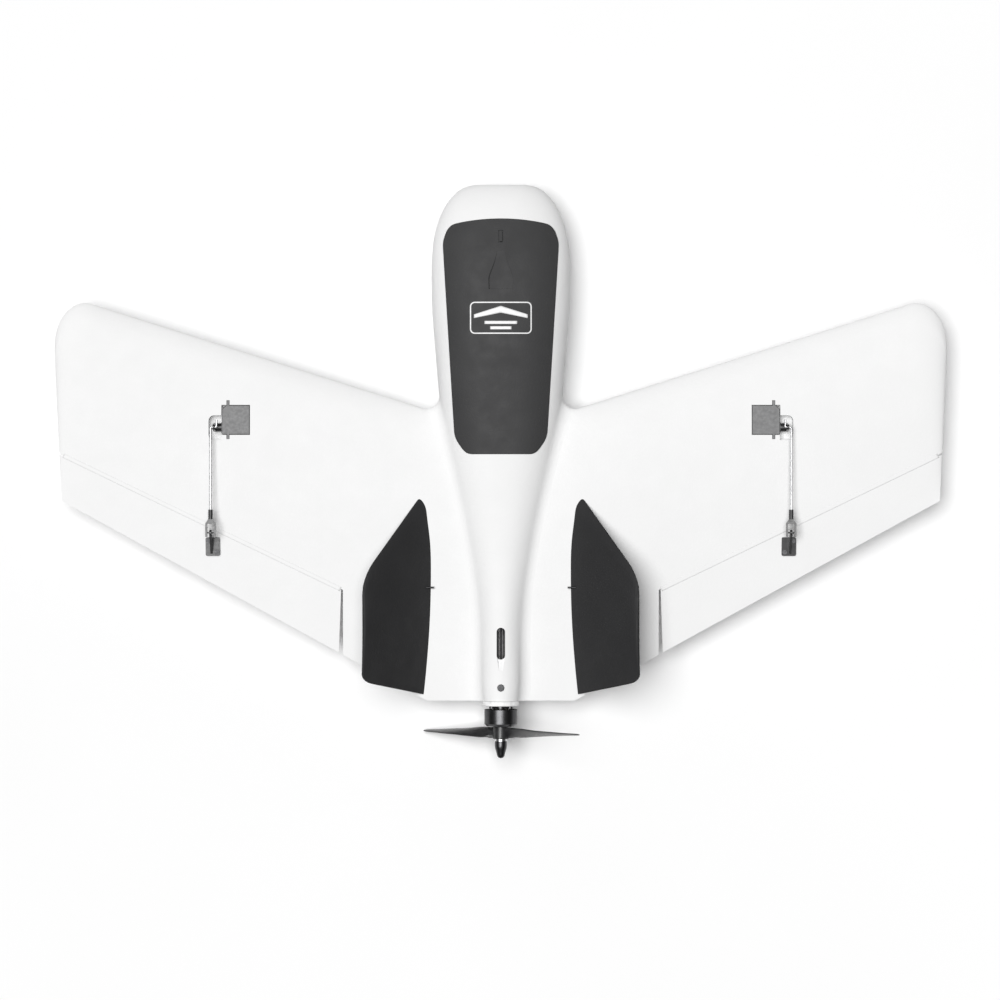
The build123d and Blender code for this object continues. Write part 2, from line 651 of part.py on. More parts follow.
with BuildPart() as clevis:
    bar((ROD_X, CLEVIS_FRONT, HORN_PIN_Z), (ROD_X, FORK_FRONT + 2.6, HORN_PIN_Z), 1.5)
    for k in range(5):
        y = CLEVIS_FRONT + 0.6 + 1.3 * k
        bar((ROD_X, y, HORN_PIN_Z), (ROD_X, y + 0.6, HORN_PIN_Z), 1.75)
    with BuildSketch(Plane.XY.offset(HORN_PIN_Z - FORK_H / 2)):
        with BuildLine():
            Polyline(
                (ROD_X - 1.6, FORK_FRONT),
                (ROD_X - 3.65, FORK_FRONT + 3.0),
                (ROD_X - 3.65, FORK_REAR),
                (ROD_X - FORK_GAP / 2, FORK_REAR),
                (ROD_X - FORK_GAP / 2, FORK_FRONT + 3.2),
                (ROD_X, FORK_FRONT + 3.2),
            )
            Line((ROD_X, FORK_FRONT + 3.2), (ROD_X, FORK_FRONT))
            Line((ROD_X, FORK_FRONT), (ROD_X - 1.6, FORK_FRONT))
        make_face()
        mirror(about=Plane.YZ.offset(ROD_X))
    extrude(amount=FORK_H)
    bar((ROD_X - 3.6, HORN_Y, HORN_PIN_Z), (ROD_X + 3.6, HORN_Y, HORN_PIN_Z), CLEVIS_PIN_R)
    bar((ROD_X, CLEVIS_FRONT - 1, HORN_PIN_Z), (ROD_X, CLEVIS_FRONT + 5.6, HORN_PIN_Z), ROD_R, Mode.SUBTRACT)
keep_pair("clevis", clevis.part)

HORN_MID = (sum(x for x, _ in HORN_SCREWS) / 2, sum(y for _, y in HORN_SCREWS) / 2)
with BuildPart() as control_horn:
    with BuildSketch(skin_plane(*HORN_MID, 1).offset(-1)):
        RectangleRounded(10.3, 13.3, 1.2)
    extrude(amount=1 + HORN_BASE)
    with BuildSketch(Plane.YZ.offset(ROD_X - HORN_BLADE / 2)):
        with BuildLine():
            Polyline(
                (HORN_MID[1] - 5.2, HORN_FOOT_Z),
                (HORN_Y - 2.1, HORN_PIN_Z),
                (HORN_Y + 1.5, HORN_PIN_Z + 1.5),
                (HORN_MID[1] + 5.2, HORN_FOOT_Z),
                close=True,
            )
        make_face()
        with Locations((HORN_Y, HORN_PIN_Z)):
            Circle(2.1)
    extrude(amount=HORN_BLADE)
    add(wing_blank.part, mode=Mode.SUBTRACT)
    bar((ROD_X - 3, HORN_Y, HORN_PIN_Z), (ROD_X + 3, HORN_Y, HORN_PIN_Z), HORN_HOLE_R, Mode.SUBTRACT)
    for x, y in HORN_SCREWS:
        bar((x, y, 20), (x, y, 60), HORN_SCREW_R + FIT, Mode.SUBTRACT)

with BuildPart() as horn_backplate:
    with BuildSketch(skin_plane(*HORN_MID, -1).offset(-1)):
        RectangleRounded(10.3, 13.3, 1.2)
    extrude(amount=1 + HORN_BASE)
    add(wing_blank.part, mode=Mode.SUBTRACT)
    for x, y in HORN_SCREWS:
        bar((x, y, 10), (x, y, 40), HORN_SCREW_R + FIT, Mode.SUBTRACT)

with BuildPart() as horn_screws:
    for x, y in HORN_SCREWS:
        top = skin_z(x, y, 1) + HORN_BASE + 0.35
        bar((x, y, skin_z(x, y, -1) - HORN_BASE - 0.6), (x, y, top + 0.2), HORN_SCREW_R)
        bar((x, y, top), (x, y, top + 1.0), 1.7)
keep_pair("control_horn", control_horn.part)
keep_pair("horn_backplate", horn_backplate.part)
keep_pair("horn_screws", horn_screws.part)


# ---------------------------------------------------------------- fins
def fin_section(share):
    """A fin section's plane, chord and depth, from inside the wing (0) to the fin's tip (1)."""
    over = max(0.0, (share - FIN_ROUND) / (1 - FIN_ROUND))
    trim = 1 - math.sqrt(1 - over**2)
    nose, tail = [
        tuple(a + share * (b - a) for a, b in zip(low, high))
        for low, high in ((FIN_NOSE_LOW, FIN_NOSE_HIGH), (FIN_TAIL_LOW, FIN_TAIL_HIGH))
    ]
    along = Vector(*tail) - Vector(*nose)
    start = Vector(*nose) + along.normalized() * (10 * trim)
    length = along.length - 15 * trim
    depth = (FIN_DEPTH_LOW + share * (FIN_DEPTH_HIGH - FIN_DEPTH_LOW)) * (1 - 0.75 * trim)
    up = Vector(1, 0, 1).normalized()
    return Plane(origin=start, x_dir=along, z_dir=along.cross(up).cross(along)), length, depth


FIN_SHARES = [0.0, FIN_ROUND] + [FIN_ROUND + (1 - FIN_ROUND) * s for s in (0.35, 0.6, 0.8, 0.93, 1)]
with BuildPart() as fin:
    for share in FIN_SHARES:
        plane, chord, depth = fin_section(share)
        with BuildSketch(plane):
            with BuildLine():
                foil_outline(chord, depth, FIN_BOW * (1 - 0.6 * share), whole=True)
            make_face()
    loft(ruled=True)
    add(airframe_blank.part, mode=Mode.SUBTRACT)
    add(wing_blank.part, mode=Mode.SUBTRACT)
    block((0, 0, 0), (100, 200, WING_Z), Mode.SUBTRACT)
with BuildPart() as fin_piece:
    add(fin.solids().sort_by(SortBy.VOLUME)[-1])
    bar(FIN_PIN_OUT, FIN_PIN_IN, 0.6 + FIT, Mode.SUBTRACT)
keep_pair("fin", fin_piece.part)
with BuildPart() as fin_pin:
    bar(FIN_PIN_OUT, FIN_PIN_IN, 0.6)
keep_pair("fin_pin", fin_pin.part)

# ---------------------------------------------------------------- motor and its mount
with BuildPart() as motor_mount:
    thrust_bar(TAIL_Y + 0.1, FLANGE_REAR, 13.0)
    fillet(motor_mount.edges().filter_by(GeomType.CIRCLE), radius=0.9)
    thrust_bar(PLUG_FRONT, TAIL_Y + 0.2, PLUG_R)
    thrust_bar(PLUG_FRONT - 1, FLANGE_REAR + 1, PLUG_BORE_R, Mode.SUBTRACT)
    bar((0, LOCK_Y, MOTOR_Z), (0, LOCK_Y, 60), LOCK_R + FIT, Mode.SUBTRACT)
    with Locations(Plane(origin=(0, FLANGE_REAR - 1, MOTOR_Z), z_dir=(0, 1, 0))):
        with PolarLocations(MOUNT_SCREW_PCR, 4, start_angle=45):
            Cylinder(0.85, 10, mode=Mode.SUBTRACT)
keep("motor_mount", motor_mount.part)

with BuildPart() as tail_lock_screw:
    bar((0, LOCK_Y, LOCK_SEAT_Z + 0.05), (0, LOCK_Y, LOCK_SEAT_Z + 2.0), LOCK_HEAD_R)
    fillet(tail_lock_screw.faces().sort_by(Axis.Z)[-1].edges(), radius=0.4)
    bar((0, LOCK_Y, MOTOR_Z + PLUG_BORE_R - 0.5), (0, LOCK_Y, LOCK_SEAT_Z + 0.5), LOCK_R)
    with BuildSketch(Plane.XY.offset(LOCK_SEAT_Z + 2.0)):
        with Locations((0, LOCK_Y)):
            RegularPolygon(1.15, 6)
    extrude(amount=-1.3, mode=Mode.SUBTRACT)
keep("tail_lock_screw", tail_lock_screw.part)

REAR_PLANE = Plane(origin=(0, BASE_FRONT, MOTOR_Z), x_dir=(1, 0, 0), z_dir=(0, 1, 0))
with BuildPart() as motor_base:
    thrust_bar(BASE_FRONT, BASE_REAR, 4.6)
    with BuildSketch(REAR_PLANE):
        with PolarLocations(MOUNT_SCREW_PCR / 2 + 1, 4, start_angle=45):
            SlotOverall(MOUNT_SCREW_PCR + 4, 3.6)
    extrude(amount=BASE_REAR - BASE_FRONT)
    thrust_bar(BASE_FRONT, TUBE_REAR, TUBE_R)
    thrust_bar(BASE_FRONT - 1, TUBE_REAR + 1, BEARING_R + FIT, Mode.SUBTRACT)
    with Locations(REAR_PLANE):
        with PolarLocations(MOUNT_SCREW_PCR, 4, start_angle=45):
            Cylinder(0.85, 10, mode=Mode.SUBTRACT)
keep("motor_base", motor_base.part)

with BuildPart() as mount_screws:
    with Locations(REAR_PLANE):
        with PolarLocations(MOUNT_SCREW_PCR, 4, start_angle=45):
            with Locations((0, 0, (BASE_REAR - BASE_FRONT) - 2.6)):
                Cylinder(0.8, 5.2)
            with Locations((0, 0, BASE_REAR - BASE_FRONT + 0.4)):
                Cylinder(1.5, 0.8)
keep("mount_screws", mount_screws.part)

with BuildPart() as bearings:
    for start in (BASE_FRONT + 0.2, TUBE_REAR - 2.7):
        thrust_bar(start, start + 2.5, BEARING_R)
    thrust_bar(BASE_FRONT - 1, TUBE_REAR + 1, SHAFT_R + 0.03, Mode.SUBTRACT)
keep("bearings", bearings.part)

with BuildPart() as stator:
    with BuildSketch(REAR_PLANE.offset(STATOR_FRONT - BASE_FRONT)):
        Circle(5.4)
        with PolarLocations(7.0, TEETH):
            Rectangle(3.8, 1.7)
        with PolarLocations(9.0, TEETH):
            Rectangle(0.7, 4.6)
        Circle(TUBE_R + FIT, mode=Mode.SUBTRACT)
    extrude(amount=STATOR_H)
keep("stator", stator.part)

with BuildPart() as windings:
    with Locations(REAR_PLANE.offset(STATOR_FRONT - BASE_FRONT + STATOR_H / 2)):
        with PolarLocations(7.1, TEETH):
            Box(2.4, 3.0, STATOR_H + 1.4)
            Box(3.0, 1.75, STATOR_H + 0.1, mode=Mode.SUBTRACT)
keep("windings", windings.part)

with BuildPart() as motor_bell:
    thrust_bar(BELL_FRONT, BELL_REAR, BELL_R)
    chamfer(motor_bell.faces().sort_by(Axis.Y)[-1].edges(), length=1.6)
    chamfer(motor_bell.faces().sort_by(Axis.Y)[0].edges(), length=0.4)
    thrust_bar(BELL_FRONT - 1, BELL_REAR - 1.6, MAGNET_RING_R + FIT, Mode.SUBTRACT)
    with BuildSketch(REAR_PLANE.offset(BELL_REAR - BASE_FRONT)):
        with PolarLocations(7.6, 6):
            SlotOverall(4.4, 2.6, rotation=90)
    extrude(amount=-3, mode=Mode.SUBTRACT)
    thrust_bar(BELL_REAR - 3.0, BELL_REAR, 4.0)
    thrust_bar(BELL_FRONT, BELL_REAR + 1, SHAFT_R, Mode.SUBTRACT)
keep("motor_bell", motor_bell.part)

with BuildPart() as rotor_magnets:
    with BuildSketch(REAR_PLANE.offset(STATOR_FRONT - BASE_FRONT - 0.3)):
        Circle(MAGNET_RING_R)
        Circle(MAGNET_RING_R - 0.9, mode=Mode.SUBTRACT)
        with PolarLocations(MAGNET_RING_R, POLES):
            Rectangle(4, 0.5, mode=Mode.SUBTRACT)
    extrude(amount=STATOR_H + 0.6)
keep("rotor_magnets", rotor_magnets.part)

with BuildPart() as motor_shaft:
    thrust_bar(BASE_FRONT + 0.1, BELL_REAR, SHAFT_R)
    thrust_bar(BELL_REAR, SPINNER_FRONT + 8, PROP_SHAFT_R)
keep("motor_shaft", motor_shaft.part)

# ---------------------------------------------------------------- propeller and its nut
BLADE_ANGLE = math.radians(30)
with BuildPart() as propeller:
    thrust_bar(HUB_FRONT, HUB_REAR, HUB_R)
    fillet(propeller.edges().filter_by(GeomType.CIRCLE), radius=0.6)
    for side in (-1, 1):
        outward = Vector(side * math.cos(BLADE_ANGLE), 0, -side * math.sin(BLADE_ANGLE))
        forward = Vector(0, 1, 0).cross(outward)
        with BuildPart(mode=Mode.PRIVATE) as blade:
            for radius, width, depth in BLADE_SECTIONS:
                pitch = math.atan(PROP_PITCH / (2 * math.pi * radius))
                chord_dir = forward * -math.cos(pitch) + Vector(0, math.sin(pitch), 0)
                centre = Vector(0, BLADE_Y, MOTOR_Z) + outward * radius
                with BuildSketch(Plane(origin=centre, x_dir=chord_dir, z_dir=outward)):
                    Ellipse(width / 2, depth / 2)
            loft()
        add(blade.part)
    thrust_bar(HUB_FRONT - 1, HUB_REAR + 1, PROP_SHAFT_R + FIT, Mode.SUBTRACT)
keep("propeller", propeller.part)

with BuildPart() as prop_washer:
    thrust_bar(HUB_REAR + FIT, SPINNER_FRONT - FIT, 4.6)
    thrust_bar(HUB_REAR - 1, SPINNER_FRONT + 1, PROP_SHAFT_R + FIT, Mode.SUBTRACT)
keep("prop_washer", prop_washer.part)

with BuildPart() as spinner_nut:
    with BuildSketch(Plane.XY.offset(MOTOR_Z)):
        with BuildLine():
            Polyline(
                (0, TAIL_END),
                (0, SPINNER_FRONT),
                (SPINNER_R, SPINNER_FRONT),
                (SPINNER_R, SPINNER_FRONT + 3),
            )
            Spline(
                (SPINNER_R, SPINNER_FRONT + 3),
                (SPINNER_R * 0.72, SPINNER_FRONT + 8.4),
                (0, TAIL_END),
                tangents=[(0, 1), (-1, 0)],
            )
        make_face()
    revolve(axis=Axis((0, 0, MOTOR_Z), (0, 1, 0)))
    thrust_bar(SPINNER_FRONT - 1, SPINNER_FRONT + 8.2, PROP_SHAFT_R + FIT, Mode.SUBTRACT)
keep("spinner_nut", spinner_nut.part)

# ---------------------------------------------------------------- equipment in the bay
with BuildPart() as battery:
    block(
        (-BATTERY_W / 2, BATTERY_AFT - BATTERY_L, BAY_FLOOR_Z + 1.2),
        (BATTERY_W / 2, BATTERY_AFT, BATTERY_TOP),
    )
    fillet(battery.edges(), radius=2)
keep("battery", battery.part)

with BuildPart() as battery_strap:
    low, high = BAY_FLOOR_Z + FIT, BATTERY_TOP + 1.1
    middle = BATTERY_AFT - BATTERY_L / 2
    block((-BATTERY_W / 2 - 1.1, middle - 8, low), (BATTERY_W / 2 + 1.1, middle + 8, high))
    fillet(battery_strap.edges().filter_by(Axis.Y), radius=2.5)
    block(
        (-BATTERY_W / 2 - 0.1, middle - 9, low + 1),
        (BATTERY_W / 2 + 0.1, middle + 9, high - 1),
        Mode.SUBTRACT,
    )
keep("battery_strap", battery_strap.part)

for label, route in [("battery_lead", BATTERY_LEAD), ("speed_controller_lead", ESC_POWER)]:
    with BuildPart() as pair:
        for side in (-1.2, 1.2):
            shifted = [(x + side, y, z) for x, y, z in route]
            with BuildPart(mode=Mode.PRIVATE) as single:
                with BuildLine() as wire:
                    FilletPolyline(*shifted, radius=bend_radii(shifted))
                with BuildSketch(Plane(origin=wire.line @ 0, z_dir=wire.line % 0)):
                    Circle(1.05)
                sweep()
            add(single.part)
    keep(label, pair.part)

with BuildPart() as battery_connector:
    block((7.5, PLUG_Y - 6, 14.5), (18.5, PLUG_Y - 0.1, 20.5))
    block((8.0, PLUG_Y + 0.1, 15), (18.0, PLUG_Y + 6, 20))
keep("battery_connector", battery_connector.part)

with BuildPart() as speed_controller:
    block((ESC_X - 6.5, ESC_FRONT + FIT, BAY_FLOOR_Z + FIT), (ESC_X + 6.5, ESC_AFT - FIT, 14.5))
    fillet(speed_controller.edges(), radius=1)
keep("speed_controller", speed_controller.part)

with BuildPart() as receiver:
    block((-11, RECEIVER_AFT - 24, BAY_FLOOR_Z + FIT), (11, RECEIVER_AFT, RECEIVER_TOP))
    fillet(receiver.edges().filter_by(Axis.Z), radius=1.5)
keep("receiver", receiver.part)

with BuildPart() as phase_wires:
    for k in (-1, 0, 1):
        with BuildPart(mode=Mode.PRIVATE) as single:
            with BuildLine() as wire:
                FilletPolyline(*phase_route(k), radius=bend_radii(phase_route(k)))
            with BuildSketch(Plane(origin=wire.line @ 0, z_dir=wire.line % 0)):
                Circle(0.9)
            sweep()
        add(single.part)
keep("phase_wires", phase_wires.part)

# ---------------------------------------------------------------- files
os.makedirs("parts", exist_ok=True)
for label, piece in pieces.items():
    export_step(piece, f"parts/{label}.step")
    print(f"{label:24s} {len(piece.solids()):2d} solids {piece.volume / 1000:9.3f} cm3 {piece.is_valid}")
for name, route in [("servo lead", SERVO_LEAD), ("battery lead", BATTERY_LEAD),
                    ("controller lead", ESC_POWER), ("phase wire", phase_route(0))]:
    print(name, "bend radii", [round(r, 1) for r in bend_radii(route)])
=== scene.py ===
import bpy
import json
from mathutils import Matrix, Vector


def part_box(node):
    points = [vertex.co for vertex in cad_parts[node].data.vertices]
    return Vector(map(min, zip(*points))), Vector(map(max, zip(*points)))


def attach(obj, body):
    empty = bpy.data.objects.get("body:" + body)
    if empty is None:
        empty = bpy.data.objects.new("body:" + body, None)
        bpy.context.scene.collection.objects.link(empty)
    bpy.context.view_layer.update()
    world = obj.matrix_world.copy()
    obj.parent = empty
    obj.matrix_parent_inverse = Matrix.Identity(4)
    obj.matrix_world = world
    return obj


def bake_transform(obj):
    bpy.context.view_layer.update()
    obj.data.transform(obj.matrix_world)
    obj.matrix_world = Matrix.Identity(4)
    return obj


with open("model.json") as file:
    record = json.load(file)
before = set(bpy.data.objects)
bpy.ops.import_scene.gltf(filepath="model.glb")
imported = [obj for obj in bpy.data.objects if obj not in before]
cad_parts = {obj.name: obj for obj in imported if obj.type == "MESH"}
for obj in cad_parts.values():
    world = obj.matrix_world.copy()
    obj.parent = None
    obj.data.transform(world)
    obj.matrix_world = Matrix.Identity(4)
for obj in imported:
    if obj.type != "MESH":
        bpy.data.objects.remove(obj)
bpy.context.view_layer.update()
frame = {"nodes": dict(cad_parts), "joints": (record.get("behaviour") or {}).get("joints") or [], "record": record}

import json
import math

import bmesh
import bpy
from mathutils import Vector
from mathutils.bvhtree import BVHTree

MM = 0.001
JOINTS = {joint["name"]: joint for joint in frame["joints"]}


# ---------------------------------------------------------------- materials
def new_material(name, color, roughness, metallic=0.0, coat=0.0):
    """A principled material with its object coordinates ready for patterns."""
    mat = bpy.data.materials.new(name)
    mat.use_nodes = True
    bsdf = mat.node_tree.nodes["Principled BSDF"]
    bsdf.inputs["Base Color"].default_value = (*color, 1)
    bsdf.inputs["Roughness"].default_value = roughness
    bsdf.inputs["Metallic"].default_value = metallic
    bsdf.inputs["Coat Weight"].default_value = coat
    mat.diffuse_color = (*color, 1)
    return mat


def add_node(mat, kind, **values):
    node = mat.node_tree.nodes.new(kind)
    for key, value in values.items():
        if hasattr(node, key):
            setattr(node, key, value)
        else:
            node.inputs[key.replace("_", " ")].default_value = value
    return node


def link(mat, out_socket, in_socket):
    mat.node_tree.links.new(out_socket, in_socket)


def object_coords(mat, stretch=(1, 1, 1)):
    coords = add_node(mat, "ShaderNodeTexCoord")
    mapping = add_node(mat, "ShaderNodeMapping")
    mapping.inputs["Scale"].default_value = stretch
    link(mat, coords.outputs["Object"], mapping.inputs["Vector"])
    return mapping.outputs["Vector"]


def noise(mat, size, detail=3.0, stretch=(1, 1, 1)):
    """A noise whose lumps are about size metres across."""
    texture = add_node(mat, "ShaderNodeTexNoise", Scale=1 / size, Detail=detail)
    link(mat, object_coords(mat, stretch), texture.inputs["Vector"])
    return texture.outputs["Fac"]


def cells(mat, size):
    """Closed cells about size metres across, as in moulded beads."""
    texture = add_node(mat, "ShaderNodeTexVoronoi", feature="DISTANCE_TO_EDGE")
    texture.inputs["Scale"].default_value = 1 / size
    link(mat, object_coords(mat), texture.inputs["Vector"])
    return texture.outputs["Distance"]


def ramp(mat, value, low, high, start=0.35, end=0.65):
    """Turns a 0 to 1 value into one between low and high."""
    node = add_node(mat, "ShaderNodeMapRange")
    node.inputs["From Min"].default_value = start
    node.inputs["From Max"].default_value = end
    node.inputs["To Min"].default_value = low
    node.inputs["To Max"].default_value = high
    link(mat, value, node.inputs["Value"])
    return node.outputs["Result"]


def tint(mat, value, dark, light):
    """Varies the base colour between two colours by a 0 to 1 value."""
    mix = add_node(mat, "ShaderNodeMix", data_type="RGBA")
    mix.inputs[6].default_value = (*dark, 1)
    mix.inputs[7].default_value = (*light, 1)
    link(mat, value, mix.inputs[0])
    link(mat, mix.outputs[2], mat.node_tree.nodes["Principled BSDF"].inputs["Base Color"])


def vary_roughness(mat, value):
    link(mat, value, mat.node_tree.nodes["Principled BSDF"].inputs["Roughness"])


def bump(mat, value, height):
    """Adds relief of that height in metres on top of any relief already there."""
    bsdf = mat.node_tree.nodes["Principled BSDF"]
    node = add_node(mat, "ShaderNodeBump", Distance=height)
    node.inputs["Strength"].default_value = 1.0
    link(mat, value, node.inputs["Height"])
    if bsdf.inputs["Normal"].is_linked:
        link(mat, bsdf.inputs["Normal"].links[0].from_socket, node.inputs["Normal"])
    link(mat, node.outputs["Normal"], bsdf.inputs["Normal"])


FOAM_RELIEF = 0.03 * MM
FOAM_BEAD = 3.4 * MM


def foam(name, dark, light, roughness):
    """Moulded bead foam: faint cells, soft mottling and a dull skin."""
    mat = new_material(name, light, roughness)
    mat.node_tree.nodes["Principled BSDF"].inputs["Specular IOR Level"].default_value = 0.2
    tint(mat, ramp(mat, noise(mat, 0.03), 0, 1), dark, light)
    vary_roughness(mat, ramp(mat, noise(mat, 0.012), roughness - 0.06, roughness + 0.06))
    bump(mat, ramp(mat, cells(mat, FOAM_BEAD), 0, 1, 0.0, 0.12), FOAM_RELIEF)
    bump(mat, noise(mat, 0.9 * MM), FOAM_RELIEF * 0.35)
    return mat


def moulded(name, color, roughness, coat=0.0):
    """Injection-moulded plastic with a fine spark texture."""
    mat = new_material(name, color, roughness, coat=coat)
    lighter = tuple(c * 1.25 + 0.004 for c in color)
    tint(mat, ramp(mat, noise(mat, 0.004), 0, 1), color, lighter)
    bump(mat, noise(mat, 0.00035), 0.00001)
    vary_roughness(mat, ramp(mat, noise(mat, 0.002), roughness - 0.05, roughness + 0.08))
    return mat


def metal(name, color, roughness, stretch=(1, 1, 1), relief=0.000004):
    """Machined or drawn metal with fine tool marks."""
    mat = new_material(name, color, roughness, metallic=1.0)
    tint(mat, ramp(mat, noise(mat, 0.003), 0, 1), tuple(c * 0.85 for c in color), color)
    marks = noise(mat, 0.0004, stretch=stretch)
    bump(mat, marks, relief)
    vary_roughness(mat, ramp(mat, marks, roughness - 0.06, roughness + 0.1))
    return mat


def woven(name, color, pitch):
    """Flat webbing with a plain weave."""
    mat = new_material(name, color, 0.8)
    weave = add_node(mat, "ShaderNodeTexBrick", Scale=1 / pitch)
    weave.inputs["Mortar Size"].default_value = 0.08
    link(mat, object_coords(mat), weave.inputs["Vector"])
    bump(mat, weave.outputs["Fac"], -0.0001)
    tint(mat, weave.outputs["Fac"], color, tuple(c * 0.4 for c in color))
    return mat


def film(name, color, roughness):
    """Shrink film or clear skid film with shallow wrinkles."""
    mat = new_material(name, color, roughness, coat=0.4)
    bump(mat, noise(mat, 0.006, stretch=(1, 3, 1)), 0.00008)
    tint(mat, ramp(mat, noise(mat, 0.01), 0, 1), color, tuple(min(1, c * 1.3 + 0.01) for c in color))
    return mat


WHITE_FOAM = foam("white_foam", (0.855, 0.855, 0.855), (0.865, 0.865, 0.865), 0.6)
SLOT_MATERIALS = {
    "white_foam": WHITE_FOAM,
    "charcoal_foam": foam("charcoal_foam", (0.046, 0.046, 0.047), (0.050, 0.050, 0.051), 0.6),
    "white_plastic": moulded("white_plastic", (0.80, 0.80, 0.80), 0.35),
    "grey_plastic": moulded("grey_plastic", (0.125, 0.125, 0.127), 0.45),
    "black_plastic": moulded("black_plastic", (0.018, 0.018, 0.019), 0.35, coat=0.15),
    "yellow_plastic": moulded("yellow_plastic", (0.75, 0.52, 0.04), 0.4),
    "wire": moulded("wire", (0.03, 0.03, 0.032), 0.5),
    "carbon": metal("carbon", (0.03, 0.03, 0.032), 0.35, (1, 25, 25)),
    "black_steel": metal("black_steel", (0.05, 0.05, 0.052), 0.4),
    "steel": metal("steel", (0.58, 0.58, 0.59), 0.3, (20, 1, 20)),
    "iron": metal("iron", (0.2, 0.2, 0.21), 0.5, (1, 12, 1)),
    "magnet": metal("magnet", (0.6, 0.6, 0.58), 0.22),
    "copper": metal("copper", (0.65, 0.28, 0.12), 0.35, (1, 20, 1), 0.00002),
    "dark_aluminium": metal("dark_aluminium", (0.085, 0.085, 0.088), 0.32, (1, 40, 1)),
    "bare_aluminium": metal("bare_aluminium", (0.75, 0.75, 0.76), 0.25, (1, 40, 1)),
    "webbing": woven("webbing", (0.03, 0.03, 0.03), 0.0012),
    "clear_film": film("clear_film", (0.72, 0.72, 0.73), 0.25),
    "battery_wrap": film("battery_wrap", (0.03, 0.06, 0.16), 0.3),
    "shrink_wrap": film("shrink_wrap", (0.02, 0.02, 0.035), 0.3),
}
FIN_FOAM = foam("fin_foam", (0.024, 0.024, 0.025), (0.027, 0.027, 0.028), 0.6)
LABEL_INK = new_material("label_ink", (0.86, 0.86, 0.86), 0.4)
tint(LABEL_INK, ramp(LABEL_INK, noise(LABEL_INK, 0.002), 0, 1), (0.80, 0.80, 0.80), (0.9, 0.9, 0.9))
bump(LABEL_INK, noise(LABEL_INK, 0.0006), 0.00001)


def dress_cad_nodes():
    """Gives every CAD node the procedural material of its slot."""
    slots = {entry["node"]: entry["material_slot"] for entry in frame["record"]["subparts"]}
    for name, obj in frame["nodes"].items():
        mat = FIN_FOAM if name.endswith("_fin") else SLOT_MATERIALS[slots[name]]
        if not obj.material_slots:
            obj.data.materials.append(mat)
        for slot in obj.material_slots:
            slot.material = mat


# ---------------------------------------------------------------- pieces laid on the skin
def surface_of(*names):
    """A function that drops a point on the top surface of some CAD nodes."""
    trees = [BVHTree.FromObject(frame["nodes"][n], bpy.context.evaluated_depsgraph_get()) for n in names]

    def height(x, y):
        hits = [tree.ray_cast(Vector((x, y, 0.2)), Vector((0, 0, -1)))[0] for tree in trees]
        levels = [hit.z for hit in hits if hit is not None]
        return max(levels) if levels else None

    return height


def strip_mesh(name, left, right, height, lift, material, body, slot_name, bridge=False):
    """A thin ribbon between two lines of plan points, draped on the skin, or bridging a gap in it."""
    mesh = bpy.data.meshes.new(name)
    shape = bmesh.new()
    rows = []
    for a, b in zip(left, right):
        row = []
        for k in range(ACROSS + 1):
            x = a[0] + (b[0] - a[0]) * k / ACROSS
            y = a[1] + (b[1] - a[1]) * k / ACROSS
            if bridge:
                ends = (height(*a), height(*b))
                level = None if None in ends else ends[0] + (ends[1] - ends[0]) * k / ACROSS
            else:
                level = height(x, y)
            row.append(None if level is None else shape.verts.new((x, y, level + lift)))
        if None not in row:
            rows.append(row)
    for first, second in zip(rows, rows[1:]):
        for k in range(ACROSS):
            shape.faces.new((first[k], first[k + 1], second[k + 1], second[k]))
    bmesh.ops.recalc_face_normals(shape, faces=shape.faces)
    if sum(f.normal.z for f in shape.faces) < 0:
        bmesh.ops.reverse_faces(shape, faces=shape.faces)
    for face in shape.faces:
        face.smooth = True
    shape.to_mesh(mesh)
    shape.free()
    obj = bpy.data.objects.new(name, mesh)
    bpy.context.scene.collection.objects.link(obj)
    obj.data.materials.append(material)
    solid = obj.modifiers.new("thickness", "SOLIDIFY")
    solid.thickness = lift
    solid.offset = -1
    if body:
        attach(obj, body)
    return obj


ACROSS = 4  # faces across a strip
HINGE_HALF = 1.6 * MM
HINGE_LIFT = 0.05 * MM
HINGE_STEPS = 120
HINGE_START, HINGE_SHARE = 0.001, 0.985  # of the elevon's span
SIDE_STEPS = 40  # pieces along each side of the badge frame
LABEL_LIFT = 0.12 * MM
BADGE_BACK = 70.3 * MM  # badge centre behind the hatch's front edge
BADGE_HALF = (21.4 * MM, 10.9 * MM)
BADGE_CORNER, FRAME_WIDTH = 3 * MM, 0.9 * MM
CHEVRON_REACH = 19 * MM
CHEVRON_FRONT = (-8.4 * MM, -2.4 * MM)  # apex and tips, behind the badge centre
CHEVRON_REAR = (-3.6 * MM, 0.2 * MM)
BAR_DEPTH = 2.2 * MM
BARS = ((2.2 * MM, 11.5 * MM), (6.0 * MM, 7.5 * MM))  # front edge and half length


def line_points(start, end, step=1.0 * MM):
    count = max(2, int(math.dist(start, end) / step))
    return [
        (start[0] + (end[0] - start[0]) * k / count, start[1] + (end[1] - start[1]) * k / count)
        for k in range(count + 1)
    ]


def rounded_ring(centre, half, corner, grow):
    """A closed rounded rectangle, as evenly divided points, grown by a distance."""
    points = []
    for quarter, (along_x, along_y) in enumerate(((1, 1), (-1, 1), (-1, -1), (1, -1))):
        hub = (centre[0] + along_x * (half[0] - corner), centre[1] + along_y * (half[1] - corner))
        for k in range(9):
            angle = (quarter + k / 8) * math.pi / 2
            radius = corner + grow
            points.append((hub[0] + radius * math.cos(angle), hub[1] + radius * math.sin(angle)))
    closed = points + points[:1]
    ring = []
    for k, (start, end) in enumerate(zip(closed, closed[1:])):
        pieces = SIDE_STEPS if k % 9 == 8 else 1
        for step in range(pieces):
            share = step / pieces
            ring.append(tuple(a + (b - a) * share for a, b in zip(start, end)))
    return ring + ring[:1]


